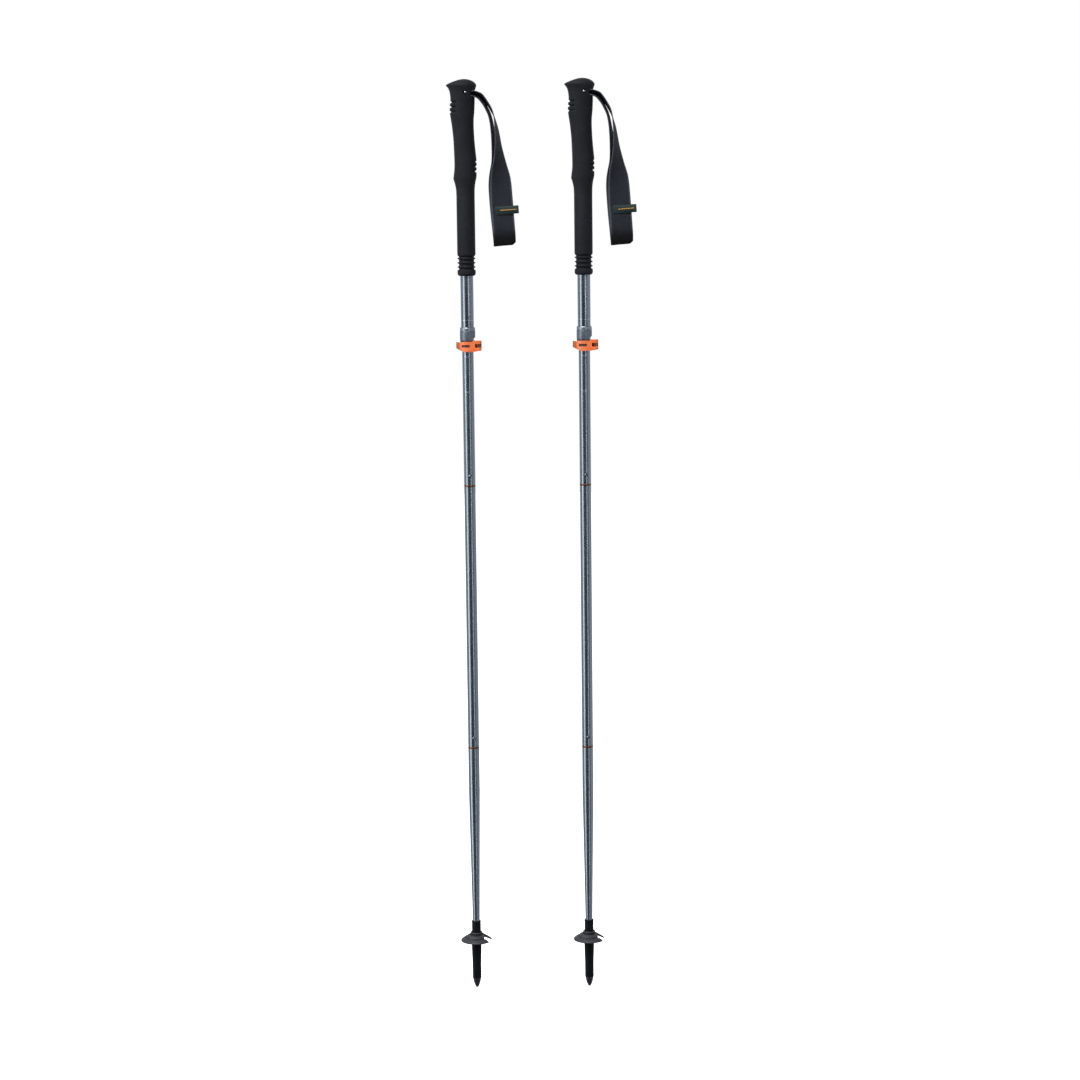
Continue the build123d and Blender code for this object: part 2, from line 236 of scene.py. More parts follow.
def bevelled(node, width):
    """A pole's CAD part as a clean mesh on the pole's own axis, with its edges rounded."""
    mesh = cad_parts[f"left_{node}"].data.copy()
    mesh.transform(Matrix.Translation((-AXIS["left"], 0, 0)))
    shape = bmesh.new()
    shape.from_mesh(mesh)
    bmesh.ops.remove_doubles(shape, verts=shape.verts, dist=2e-6)
    flat = radians(1.5)
    bmesh.ops.dissolve_limit(shape, angle_limit=flat, verts=shape.verts, edges=shape.edges)
    bmesh.ops.remove_doubles(shape, verts=shape.verts, dist=0.13 * MM)
    bmesh.ops.recalc_face_normals(shape, faces=shape.faces)
    edges = [e for e in shape.edges if e.is_manifold and e.calc_face_angle(0) > radians(28)]
    look = {"segments": 2, "profile": 0.6, "affect": "EDGES", "clamp_overlap": False}
    bmesh.ops.bevel(shape, geom=edges, offset=width * MM, **look)
    shape.to_mesh(mesh)
    shape.free()
    mesh.materials.clear()
    mesh.name = node
    return finished(mesh, 24.0)


def shared_out(mesh, choose):
    """Each face's material, by number, from where its middle is in millimetres."""
    for polygon in mesh.polygons:
        polygon.material_index = choose(polygon.center / MM)
    return mesh


def joined(name, *meshes):
    """Several meshes as one, each keeping its material slots in turn."""
    shape = bmesh.new()
    slots = []
    for mesh in meshes:
        before = len(shape.faces)
        shape.from_mesh(mesh)
        shape.faces.ensure_lookup_table()
        for face in shape.faces[before:]:
            face.material_index += len(slots)
        slots += list(mesh.materials) or [None]
    mesh = meshed(name, shape)
    for slot in slots:
        mesh.materials.append(slot)
    return mesh


# Materials


def tone(red, green, blue):
    """A colour from its 0-255 display values."""
    share = [c / 255 for c in (red, green, blue)]
    line = [c / 12.92 if c <= 0.04045 else ((c + 0.055) / 1.055) ** 2.4 for c in share]
    return (*line, 1.0)


class Finish:
    """A material and short calls for the nodes that its finish is made of."""

    def __init__(self, name, **constants):
        self.material = bpy.data.materials.new(name)
        self.material.use_nodes = True
        tree = self.material.node_tree
        self.nodes, self.links = tree.nodes, tree.links
        self.shader = self.nodes["Principled BSDF"]
        for socket, value in constants.items():
            self.shader.inputs[socket.replace("_", " ")].default_value = value

    def node(self, kind, inputs=(), **settings):
        made = self.nodes.new(f"ShaderNode{kind}")
        for key, value in settings.items():
            setattr(made, key, value)
        for key, value in dict(inputs).items():
            self.feed(made.inputs[key], value)
        return made

    def feed(self, socket, value):
        if isinstance(value, bpy.types.NodeSocket):
            self.links.new(value, socket)
        else:
            socket.default_value = value

    def place(self, output="Object"):
        return self.node("TexCoord").outputs[output]

    def stretch(self, vector, x, y, z):
        return self.node("Mapping", {"Vector": vector, "Scale": (x, y, z)}).outputs["Vector"]

    def noise(self, vector, scale, detail=3.0, roughness=0.5):
        inputs = {"Vector": vector, "Scale": scale, "Detail": detail, "Roughness": roughness}
        return self.node("TexNoise", inputs).outputs["Fac"]

    def cells(self, vector, scale):
        return self.node("TexVoronoi", {"Vector": vector, "Scale": scale}).outputs["Distance"]

    def maths(self, operation, *values):
        return self.node("Math", dict(enumerate(values)), operation=operation).outputs[0]

    def times(self, one, other):
        return self.maths("MULTIPLY", one, other)

    def span(self, value, low, high, start=0.0, end=1.0):
        inputs = {"Value": value, "From Min": low, "From Max": high, "To Min": start, "To Max": end}
        return self.node("MapRange", inputs).outputs["Result"]

    def blend(self, share, one, other):
        inputs = {"Factor": share, 6: one, 7: other}
        return self.node("Mix", inputs, data_type="RGBA").outputs[2]

    def bump(self, height, depth, under=None):
        inputs = {"Height": height, "Distance": depth * MM, "Strength": 1.0}
        if under:
            inputs["Normal"] = under
        return self.node("Bump", inputs).outputs["Normal"]

    def within(self, value, centre, half):
        """1 where value is within half of centre."""
        away = self.maths("ABSOLUTE", self.maths("SUBTRACT", value, centre))
        return self.maths("LESS_THAN", away, half)

    def wear(self, reach=0.6, size=900.0):
        """Near an edge, where the surface's direction turns, broken up by noise: 0 to 1."""
        softened = self.node("Bevel", {"Radius": reach * MM}, samples=4).outputs["Normal"]
        plain = self.node("NewGeometry").outputs["Normal"]
        facing = self.node("VectorMath", {0: softened, 1: plain}, operation="DOT_PRODUCT")
        wear_and_shade = self.span(facing.outputs["Value"], 0.985, 0.86)
        patchy = self.span(self.noise(self.place(), size), 0.35, 0.7)
        return self.times(wear_and_shade, patchy)

    def done(self, colour=None, roughness=None, normal=None):
        for socket, value in (("Base Color", colour), ("Roughness", roughness), ("Normal", normal)):
            if value is not None:
                self.feed(self.shader.inputs[socket], value)
        return self.material


def foam(name, dark, light, rough, swell):
    """Fine-celled moulded foam or rubber: soft mottling, tiny pores and a matte skin."""
    made = Finish(name, Specular_IOR_Level=0.2, Sheen_Weight=0.02, Sheen_Roughness=0.5)
    where = made.place()
    mottle = made.noise(where, 55.0, 4.0, 0.6)
    fine = made.noise(where, 1500.0, 2.0)
    pores = made.span(made.cells(where, 1300.0), 0.0, 0.42)
    colour = made.blend(made.span(mottle, 0.3, 0.7), dark, light)
    colour = made.blend(made.span(pores, 0.0, 0.6, 0.35, 0.0), colour, tone(12, 13, 16))
    roughness = made.span(fine, 0.3, 0.7, rough - 0.06, rough + 0.08)
    normal = made.bump(mottle, swell, made.bump(pores, 0.035))
    return made.done(colour, roughness, normal)


def moulded(name, dark, light, rough, grain=1600.0, depth=0.006, **constants):
    """Moulded plastic: a fine spark grain, faint flow mottling and paler worn edges."""
    made = Finish(name, **constants)
    where = made.place()
    flow = made.noise(where, 120.0, 3.0)
    grit = made.noise(where, grain, 3.0, 0.65)
    colour = made.blend(made.span(flow, 0.3, 0.7), dark, light)
    wear_and_shade = made.wear()
    pale = tuple(c + 0.3 * (0.55 - c) for c in light[:3])
    colour = made.blend(made.times(wear_and_shade, 0.45), colour, (*pale, 1.0))
    roughness = made.span(grit, 0.3, 0.7, rough - 0.08, rough + 0.1)
    roughness = made.maths("SUBTRACT", roughness, made.times(wear_and_shade, 0.1))
    return made.done(colour, roughness, made.bump(grit, depth))


def metal(name, dark, light, rough, along=(2600.0, 2600.0, 22.0), **constants):
    """Drawn or turned metal: hairlines in one direction and faint smudges."""
    made = Finish(name, Metallic=1.0, **constants)
    where = made.place()
    lines = made.noise(made.stretch(where, *along), 1.0, 3.0, 0.6)
    smudge = made.noise(where, 35.0, 3.0)
    colour = made.blend(made.span(lines, 0.3, 0.7), dark, light)
    roughness = made.span(lines, 0.3, 0.7, rough - 0.03, rough + 0.04)
    roughness = made.maths("ADD", roughness, made.span(smudge, 0.35, 0.7, -0.02, 0.05))
    return made, where, colour, roughness, made.bump(lines, 0.0006)


TUBE = (tone(132, 143, 155), tone(142, 153, 165), 0.25)
PRINT = tone(205, 212, 220)
SCALE_STEP = 50.0  # between the sliding tube's printed marks
SCALE_MARK = 918.0  # the height of one of them
SCALE_FOOT = 860.0  # where they stop
RULER_MIDDLE, RULER_HALF = 1000.0, 26.0
RING_LINE = 968.0


def round_about(made, where):
    """The angle about the pole's axis, 0 towards the camera's side, and the height in mm."""
    split = made.node("SeparateXYZ", {"Vector": where}).outputs
    angle = made.maths("ARCTAN2", split["X"], made.times(split["Y"], -1.0))
    return angle, made.maths("DIVIDE", split["Z"], MM)


def scale_tube():
    """The sliding tube: a printed arrow and tick every 50 mm."""
    made, where, colour, roughness, normal = metal("anodised_tube_scale", *TUBE)
    angle, height = round_about(made, where)
    reach = (SCALE_MARK + SCALE_STEP / 2, SCALE_MARK - SCALE_STEP / 2)
    step = made.maths("SUBTRACT", made.maths("WRAP", height, *reach), SCALE_MARK)
    across = made.maths("ABSOLUTE", made.times(made.maths("ADD", angle, 0.12), 8.0))
    tick = made.times(made.within(step, 0.0, 0.45), made.maths("LESS_THAN", across, 3.6))
    arrow = made.maths("LESS_THAN", made.maths("ABSOLUTE", made.maths("ADD", step, 1.6)), 1.4)
    narrow = made.maths("LESS_THAN", across, made.maths("ADD", step, 3.2))
    arrow = made.times(arrow, narrow)
    mark = made.maths("MAXIMUM", tick, arrow)
    mark = made.times(mark, made.maths("GREATER_THAN", height, SCALE_FOOT))
    mark = made.times(mark, 0.75)
    return made.done(made.blend(mark, colour, PRINT), roughness, normal)


def ruled_tube():
    """The upper tube: a plain ruler of short strokes up its front, and a ring line."""
    made, where, colour, roughness, normal = metal("anodised_tube_ruled", *TUBE)
    angle, height = round_about(made, where)
    stroke = made.within(made.maths("WRAP", height, 1.6, 0.0), 0.6, 0.42)
    reach = made.within(angle, 0.32, 0.17)
    rule = made.times(stroke, reach)
    rule = made.times(rule, made.within(height, RULER_MIDDLE, RULER_HALF))
    ring = made.within(height, RING_LINE, 0.5)
    mark = made.times(made.maths("MAXIMUM", rule, ring), 0.6)
    return made.done(made.blend(mark, colour, PRINT), roughness, normal)


def simple_metal(name, dark, light, rough, along=(2600.0, 2600.0, 22.0), **constants):
    """Metal with nothing printed on it."""
    made, _, colour, roughness, normal = metal(name, dark, light, rough, along, **constants)
    return made.done(colour, roughness, normal)


def webbing():
    """Tight flat weave from the strap's own lengths in mm: u along it, v across it."""
    sheen = {"Sheen_Weight": 0.08, "Sheen_Roughness": 0.35, "Sheen_Tint": tone(150, 155, 170)}
    made = Finish("webbing", Specular_IOR_Level=0.2, **sheen)
    split = made.node("SeparateXYZ", {"Vector": made.place("UV")}).outputs
    weft_pitch, warp_pitch = 1.1, 1.0
    along = made.times(split["X"], 2 * pi / weft_pitch)
    across = made.times(split["Y"], 2 * pi / warp_pitch)
    warp = made.maths("SINE", across)
    shift = made.times(made.maths("SIGN", warp), pi / 2)
    weft = made.maths("SINE", made.maths("ADD", along, shift))
    weave = made.span(made.times(made.maths("ABSOLUTE", warp), weft), -1, 1)
    fuzz = made.noise(made.place("UV"), 3.0, 3.0, 0.7)
    patch = made.noise(made.place("UV"), 0.06, 2.0)
    colour = made.blend(weave, tone(15, 17, 22), tone(38, 42, 52))
    colour = made.blend(made.span(fuzz, 0.35, 0.75, 0.0, 0.35), colour, tone(54, 58, 68))
    colour = made.blend(made.span(patch, 0.35, 0.7, 0.0, 0.3), colour, tone(22, 24, 31))
    # Painted highlight: the webbing is paler along both edges, as if they catch the light.
    edge = made.node("Attribute", attribute_name="painted_edge_highlight").outputs["Fac"]
    colour = made.blend(made.times(edge, 0.55), colour, tone(92, 96, 104))
    # Painted shade: near-black towards the lower fold, where the strap turns down away from the
    # light.
    painted_fold_shade = made.node("Attribute", attribute_name="painted_fold_shade").outputs["Fac"]
    colour = made.blend(made.times(painted_fold_shade, 0.95), colour, tone(3, 3, 5))
    roughness = made.span(fuzz, 0.3, 0.7, 0.62, 0.82)
    return made.done(colour, roughness, made.bump(weave, 0.16, made.bump(fuzz, 0.05)))


def label_cloth(name, dark, light, depth):
    """Fine satin-woven label cloth."""
    made = Finish(name, Specular_IOR_Level=0.4, Sheen_Weight=0.2, Sheen_Roughness=0.3)
    where = made.place()
    rows = made.noise(made.stretch(where, 700.0, 700.0, 4200.0), 1.0, 2.0)
    fuzz = made.noise(where, 900.0, 3.0)
    colour = made.blend(made.span(rows, 0.3, 0.7), dark, light)
    roughness = made.span(fuzz, 0.3, 0.7, 0.5, 0.7)
    return made.done(colour, roughness, made.bump(rows, depth))


def braid():
    """Braided cord sleeve, from how far round and along the cord a point is."""
    made = Finish("cord", Specular_IOR_Level=0.35, Sheen_Weight=0.3)
    split = made.node("SeparateXYZ", {"Vector": made.place("UV")}).outputs
    one = made.maths("SINE", made.maths("ADD", split["X"], split["Y"]))
    other = made.maths("SINE", made.maths("SUBTRACT", split["X"], split["Y"]))
    strands = made.span(made.maths("MAXIMUM", one, other), -0.4, 1.0)
    fleck = made.maths("GREATER_THAN", made.times(one, other), 0.8)
    colour = made.blend(strands, tone(18, 18, 20), tone(58, 60, 64))
    colour = made.blend(made.times(fleck, 0.5), colour, tone(170, 172, 176))
    roughness = made.span(strands, 0.0, 1.0, 0.85, 0.6)
    return made.done(colour, roughness, made.bump(strands, 0.15))


ACROSS_Y = (500.0, 9000.0, 500.0)  # a metal's hairlines, across Y
EVEN = (500.0, 500.0, 500.0)  # no direction

RUBBER = foam("head_rubber", tone(13, 15, 20), tone(20, 23, 29), 0.62, 0.05)
FOAM = foam("grip_foam", tone(14, 16, 21), tone(22, 25, 32), 0.64, 0.1)
STEEL = simple_metal("steel", tone(178, 180, 184), tone(214, 216, 220), 0.26, ACROSS_Y)
DARK_STEEL = simple_metal("dark_steel", tone(112, 116, 122), tone(134, 138, 144), 0.4, ACROSS_Y)
# Painted reflection: the tension screw is tinted orange-brown, as if reflecting the orange lever.
BRONZE_REFLECTION = simple_metal("bronze_painted_reflection", tone(138, 86, 58), tone(164, 108, 76), 0.32, ACROSS_Y)
PLAIN_TUBE = simple_metal("anodised_tube", *TUBE)
SCALE_TUBE = scale_tube()
RULED_TUBE = ruled_tube()
COLLAR = simple_metal("collar_plastic", tone(110, 120, 132), tone(124, 134, 146), 0.5, EVEN)
# Painted highlight: the collar's top ring is paler, as if its bevel catches the light from above.
COLLAR_RING_HIGHLIGHT = simple_metal("collar_ring_painted_highlight", tone(138, 148, 158), tone(152, 161, 170), 0.42)
BAND = moulded("band_plastic", tone(26, 27, 30), tone(36, 38, 41), 0.45)
LEVER = moulded(
    "lever_orange", tone(228, 109, 58), tone(242, 129, 78), 0.36, 2200.0, 0.003, Coat_Weight=0.25
)
# Painted shade: the thumb end is a darker orange, as if facing away from the light; its coarse grain
# is texture.
THUMB_SHADE = moulded("lever_thumb_painted_shade", tone(176, 76, 34), tone(196, 92, 44), 0.5, 900.0, 0.05)
# Painted shade: the finger pocket is a dark brown, as if in shadow inside the recess.
POCKET_SHADE = moulded("lever_pocket_painted_shade", tone(70, 34, 18), tone(92, 46, 26), 0.6)
RING = simple_metal("ring_orange", tone(112, 70, 38), tone(136, 86, 50), 0.36, (30.0, 30.0, 9000.0))
SPIGOT = simple_metal("spigot_metal", tone(168, 171, 176), tone(196, 199, 204), 0.3)
WEBBING = webbing()
LABEL = label_cloth("label", tone(6, 24, 26), tone(14, 38, 40), 0.03)
THREAD = label_cloth("label_thread", tone(150, 108, 48), tone(196, 148, 76), 0.05)
CORD = braid()
SLEEVE = moulded(
    "tip_plastic", tone(10, 13, 16), tone(18, 22, 26), 0.55, 1400.0, 0.006, Specular_IOR_Level=0.12
)
FERRULE = simple_metal(
    "ferrule_metal", tone(74, 76, 82), tone(94, 96, 102), 0.42, (60.0, 60.0, 6000.0)
)
CARBIDE = simple_metal(
    "carbide", tone(180, 180, 184), tone(206, 206, 210), 0.32, (900.0, 900.0, 900.0)
)
BASKET = moulded("basket_plastic", tone(34, 35, 39), tone(49, 50, 55), 0.5, 1100.0, 0.02)


# Placing pieces


def place(part, mesh, body, slot, *materials, sides=SIDES):
    """The mesh on each pole, riding on the body and standing for the part's CAD node, if any."""
    for material in materials:
        mesh.materials.append(material)
    for side in sides:
        piece = shown(f"{side}_{part}-look", mesh)
        piece.location.x = AXIS[side]
        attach(piece, f"{side}_{body}")
        if f"{side}_{part}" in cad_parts:
            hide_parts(f"{side}_{part}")


# Grip and head

FRONT_GROOVES = ((1268.4, 2.4), (1262.0, 2.4), (1255.4, 1.8))
BACK_GROOVES = ((1186.8, 1.5), (1180.3, 1.8), (1173.8, 2.5))
GROOVE_WIDTH = 1.15
BORE_TOP = 1258.0  # where the tube ends inside the grip


def groove(height, cuts):
    """How deep the grooves are at a height, in millimetres."""
    return sum(depth * exp(-(((height - z) / GROOVE_WIDTH) ** 2)) for z, depth in cuts)


def oval_ring(height, front, back, half):
    """One ring of the grip, with its finger grooves in front and its palm grooves behind."""
    middle = (front + back) / 2
    reach = (back - front) / 2
    ring = []
    for a in circle(ROUND):
        facing = smoothstep(0.32, 0.72, -cos(a))
        rear = smoothstep(0.5, 0.85, cos(a))
        dip = facing * groove(height, FRONT_GROOVES) + rear * groove(height, BACK_GROOVES)
        share = 1 - dip / max(reach, 4.0)
        ring.append((middle + reach * share * cos(a), half * share * sin(a), height))
    return ring


def grip_mesh():
    """The hand grip, with the bore for the tube."""
    sections = [
        (CAP_LOW, -19.6, 14.6, 14.4),
        (1262.0, -20.1, 14.3, 14.3),
        (1256.0, -20.2, 14.0, 14.1),
        (1250.0, -19.6, 13.4, 13.9),
        (1244.0, -18.7, 12.9, 13.6),
        (1235.0, -17.4, 12.8, 13.4),
        (1218.0, -15.8, 13.5, 13.4),
        (1201.0, -15.1, 14.9, 13.4),
        (1190.0, -14.8, 16.0, 13.5),
        (1178.0, -14.9, 16.1, 13.5),
        (1167.5, -16.1, 15.8, 13.6),
        (1163.5, -16.5, 15.2, 13.5),
        (1158.5, -15.0, 14.0, 13.2),
        (1150.0, -13.2, 13.0, 12.9),
        (GRIP_LOW, -12.75, 12.75, 12.73),
    ]
    rings = [oval_ring(*row) for row in eased(sections, 14)]
    for z in (GRIP_LOW, BORE_TOP):
        rings.append([(UPPER_R * cos(a), UPPER_R * sin(a), z) for a in circle(ROUND)])
    return ring_mesh("grip", rings, sharp=50.0)


def head_mesh():
    """The mushroom head: a thin front lip, a rounded back, the strap slot and the pin's recess."""
    sections = [
        (CAP_LOW, -19.6, 14.6, 14.4),
        (1273.0, -19.0, 14.7, 14.6),
        (1279.0, -19.5, 14.8, 14.9),
        (1284.5, -20.6, 15.2, 15.2),
        (1288.0, -22.3, 16.3, 15.7),
        (1290.2, -24.1, 17.0, 16.0),
        (1291.5, -24.95, 17.1, 16.0),
        (1292.2, -24.8, 16.9, 15.9),
        (1293.4, -22.9, 16.2, 15.4),
        (1295.0, -19.4, 14.9, 14.2),
        (1296.6, -15.4, 12.8, 12.4),
        (1298.2, -10.6, 9.7, 9.4),
        (1299.4, -6.0, 5.9, 5.8),
        (HEAD_TOP, -1.8, 1.4, 1.6),
    ]
    rings = [oval_ring(*row) for row in eased(sections, 6)]
    rings = [[(x, y, min(z, HEAD_TOP)) for x, y, z in ring] for ring in rings]
    head = ring_mesh("head_cap", rings + [[(-0.2, 0, HEAD_TOP)]], sharp=50.0)
    mouth = [(PIN_X, 1286.0), (7.0, 1285.6), (11.0, 1284.6), (24.0, 1284.4), (24.0, 1271.9)]
    mouth += [(11.0, 1276.4), (PIN_X, 1277.4)]
    slot = prism(mouth, -11.0, 11.0)
    return cut(
        head,
        slot,
        bar(PIN_X, PIN_Z, 4.3, -11.0, 11.0),
        bar(PIN_X, PIN_Z, 3.2, -20.0, -12.6),
        bar(PIN_X, PIN_Z, 3.2, 12.6, 20.0),
        bar(PIN_X, PIN_Z, 1.52, -20.0, 20.0),
    )


def extension_mesh():
    """The round lower grip, ending in a cuff with thin ribs and a thick end ring."""
    cuff = heights("grip_extension")[0]
    outline = [(UPPER_R, cuff), (10.6, cuff), (12.2, 1031.2), (12.75, 1032.6), (12.75, 1037.4)]
    outline += [(10.6, 1038.6)]
    for rib in (1041.9, 1047.8, 1053.8):
        outline += [(10.6, rib - 1.5), (12.6, rib - 0.5), (12.6, rib + 0.5), (10.6, rib + 1.5)]
    outline += [(10.6, 1056.6), (12.3, 1057.8), (12.75, 1059.6), (12.75, GRIP_LOW)]
    outline += [(UPPER_R, GRIP_LOW)]
    return lathe("grip_extension", outline, 0.5)


def pin_mesh():
    """The strap pin, with chamfered ends."""
    outline = [(0.0, -14.4), (0.7, -14.4), (1.5, -13.9), (1.5, 13.9), (0.7, 14.4), (0.0, 14.4)]
    return lathe("strap_pin", outline, 0.15, 32, turned_to_y(PIN_X, PIN_Z))


place("head_cap", head_mesh(), "handle", "head_rubber", RUBBER)
place("grip", grip_mesh(), "handle", "grip_foam", FOAM)
place("grip_extension", extension_mesh(), "handle", "grip_foam", FOAM)
place("strap_pin", pin_mesh(), "handle", "steel", STEEL)


# Strap

WEB = 1.5  # the webbing's thickness
LABEL_TILT = 3.6  # degrees
# Where the webbing's middle line runs: x, y, z, how far it has turned from edge-on to face-on in
# degrees, and its width. It starts round the pin, goes down the front leg and comes up the back.
ROOT_OUT = [
    (2.0, 0.0, 1284.3, 0, 20),
    (6.5, 0.0, 1283.3, -6, 20),
    (11.0, 0.0, 1281.8, -11, 20),
]
FRONT_LEG = [
    (15.0, 0.0, 1281.2, -12, 20),
    (19.0, 0.0, 1280.0, -12, 20),
    (22.5, 0.0, 1278.5, -12, 20),
    (25.4, 0.0, 1276.0, -11, 20),
    (28.6, 0.0, 1272.0, -10, 20),
    (32.2, 0.0, 1266.7, -9, 20.2),
    (35.6, 0.0, 1261.1, -8, 20.5),
    (38.2, -0.1, 1256.0, -6, 21),
    (40.6, -0.3, 1250.0, -1, 21.5),
    (42.5, -0.5, 1242.0, 5, 22),
    (44.3, -0.9, 1232.0, 11, 22.8),
    (45.6, -1.5, 1221.0, 15, 23.8),
    (46.5, -2.2, 1209.5, 20, 25),
    (47.4, -3.2, 1197.5, 29, 26.2),
    (48.1, -4.4, 1186.0, 40, 27.6),
    (48.4, -5.6, 1175.0, 55, 28.8),
    (49.1, -6.4, 1164.0, 68, 29.8),
    (49.6, -6.8, 1153.0, 77, 30.3),
    (50.1, -7.0, 1141.0, 83, 30.6),
    (50.9, -7.0, 1126.0, 86, 31),
    (52.0, -7.0, 1109.0, 87, 31),
    (52.7, -6.8, 1098.0, 88, 31),
    (53.3, -6.0, 1088.0, 89, 31),
]
FOLD = [
    (53.6, -4.5, 1079.8, 90, 31),
    (53.7, -2.5, 1074.0, 90, 31),
    (53.7, 0.0, 1071.7, 90, 31),
    (53.6, 3.2, 1073.6, 90, 31),
    (53.2, 5.6, 1079.4, 90, 31),
]
BACK_LEG = [
    (52.4, 6.9, 1088.0, 89, 31),
    (51.3, 7.0, 1099.0, 88, 31),
    (50.0, 7.0, 1112.0, 86, 31),
    (48.8, 7.0, 1126.0, 84, 31),
    (47.6, 7.0, 1140.0, 81, 30.6),
    (46.7, 6.8, 1151.0, 76, 30.3),
    (46.2, 6.4, 1162.0, 68, 29.8),
    (45.8, 5.7, 1173.0, 56, 28.8),
    (45.2, 4.6, 1184.0, 42, 27.6),
    (43.8, 3.4, 1195.0, 31, 26.2),
    (41.9, 2.4, 1207.0, 22, 25),
    (40.3, 1.6, 1220.0, 16, 23.8),
    (38.7, 1.0, 1232.0, 12.5, 22.8),
    (37.0, 0.6, 1242.5, 11, 22),
    (34.7, 0.3, 1251.5, 11, 21.3),
    (32.0, 0.1, 1257.6, 12, 20.7),
    (28.6, 0.0, 1264.1, 12, 20.2),
    (25.2, 0.0, 1269.2, 13, 20),
    (20.3, 0.0, 1274.6, 12, 20),
    (15.0, 0.0, 1277.2, 11, 20),
]
ROOT_BACK = [
    (11.0, 0.0, 1278.4, 10, 20),
    (6.0, 0.0, 1278.9, 5, 20),
    (2.0, 0.0, 1279.1, 0, 20),
]


def pin_turn():
    """Round the back of the pin, from the lower layer up to the upper one."""
    angles = (pi / 4, pi / 2, 3 * pi / 4)
    return [(PIN_X - 2.6 * sin(a), 0.0, PIN_Z - 2.6 * cos(a), 0, 20) for a in angles]


def web_ring(centre, along, twist, width):
    """The webbing's rounded section at one place, and how far across it each point is."""
    up = 1 if along.z > 0 else -1
    level_side = Vector((abs(along.z) + abs(along.y), 0, -up * along.x)).normalized()
    across = level_side * sin(radians(twist)) + Vector((0, cos(radians(twist)), 0))
    across = (across - along * across.dot(along)).normalized()
    proud = along.cross(across)
    half, thick = width / 2, WEB / 2
    shares = [-1 + 2 * k / 14 for k in range(15)]
    points = []
    for end, face in ((1, shares), (-1, shares[::-1])):
        for s in face:
            points.append((s * (half - thick), end * thick * (1 - 0.25 * abs(s) ** 6)))
        for a in (60, 30, 0, -30, -60):
            reach = half - thick + thick * cos(radians(a))
            points.append((end * reach, end * 0.75 * thick * sin(radians(a))))
    return [(centre + across * u + proud * v, u) for u, v in points]


def webbing_mesh():
    """The whole wrist loop with its root round the pin, as one closed band of webbing."""
    rows = [*ROOT_OUT, *FRONT_LEG, *FOLD, *BACK_LEG, *ROOT_BACK, *pin_turn()]
    rows = eased(rows + rows[:1], 5)[:-1]
    centres = [Vector(row[:3]) for row in rows]
    count = len(rows)
    shape = bmesh.new()
    lengths = shape.loops.layers.uv.new("length")
    # A painted-highlight mark that is 1 along both edges of the webbing.
    edge = shape.verts.layers.float.new("painted_edge_highlight")
    # A painted-shade mark that rises to 1 down into the strap's lower fold.
    wear_and_shade = shape.verts.layers.float.new("painted_fold_shade")
    rings, travelled = [], [0.0]
    for n, (_, _, z, twist, width) in enumerate(rows):
        along = (centres[(n + 1) % count] - centres[n - 1]).normalized()
        ring = []
        low = smoothstep(1096.0, 1074.0, z)
        for point, u in web_ring(centres[n], along, twist, width):
            point.z += low * (0.08 * u + 3.2 * smoothstep(0.6, 1.0, 2 * u / width) ** 2)
            vert = shape.verts.new(point * MM)
            vert[edge] = smoothstep(width / 2 - 1.9, width / 2 - 0.9, abs(u))
            vert[wear_and_shade] = smoothstep(1099.0, 1079.0, z)
            ring.append((vert, u))
        rings.append(ring)
        travelled.append(travelled[-1] + (centres[(n + 1) % count] - centres[n]).length)
    for n in range(count):
        here, there = rings[n], rings[(n + 1) % count]
        for k in range(len(here)):
            m = (k + 1) % len(here)
            face = shape.faces.new([here[k][0], here[m][0], there[m][0], there[k][0]])
            places = [(n, here[k]), (n, here[m]), (n + 1, there[m]), (n + 1, there[k])]
            for loop, (row, (_, u)) in zip(face.loops, places):
                loop[lengths].uv = (travelled[row], u)
    bmesh.ops.recalc_face_normals(shape, faces=shape.faces)
    return finished(meshed("webbing", shape), 70.0)


def tilted_slab(x, y, z, corner):
    """A thin cloth tab in the XZ plane from its limits in mm, tilted about its left end like the
    label, with rounded corners and soft edges."""
    low_x, high_x = x
    low_z, high_z = z
    outline = []
    spots = ((high_x, high_z, 0), (low_x, high_z, 90), (low_x, low_z, 180), (high_x, low_z, 270))
    for cx, cz, start in spots:
        inner_x = cx - corner * (1 if cx == high_x else -1)
        inner_z = cz - corner * (1 if cz == high_z else -1)
        for step in range(5):
            a = radians(start + 22.5 * step)
            outline.append((inner_x + corner * cos(a), inner_z + corner * sin(a)))
    middle = Vector(((low_x + high_x) / 2, (low_z + high_z) / 2))
    rings = []
    depth = y[1] - y[0]
    profile = ((0.35, 0.0), (0.08, 0.12), (0.0, 0.35), (0.0, 0.65), (0.08, 0.88), (0.35, 1.0))
    for inset, rise in profile:
        ring = []
        for px, pz in outline:
            pull = (middle - Vector((px, pz))).normalized() * inset
            ring.append((px + pull.x, y[0] + depth * rise, pz + pull.y))
        rings.append(ring)
    mesh = ring_mesh("tab", rings, sharp=60.0)
    pivot = Vector((low_x, 0, middle.y)) * MM
    turn = Matrix.Translation(pivot) @ Matrix.Rotation(radians(-LABEL_TILT), 4, "Y")
    mesh.transform(turn @ Matrix.Translation(-pivot))
    return mesh


def stitch_row(start, end, count, y):
    """A row of thread stitches, each a small raised bead, between two (x, z) places in mm."""
    beads = bmesh.new()
    first, last = Vector((start[0], y, start[1])), Vector((end[0], y, end[1]))
    way = (last - first).normalized()
    turn = Vector((1, 0, 0)).rotation_difference(way).to_matrix().to_4x4()
    length = (last - first).length / count
    for n in range(count):
        middle = first.lerp(last, (n + 0.5) / count)
        size = Matrix.Diagonal((length * 0.36, 0.16, 0.2, 1))
        spot = Matrix.Translation(middle * MM) @ turn @ size @ Matrix.Scale(MM, 4)
        bmesh.ops.create_uvsphere(beads, u_segments=10, v_segments=6, radius=1.0, matrix=spot)
    return finished(meshed("stitches", beads), 80.0)


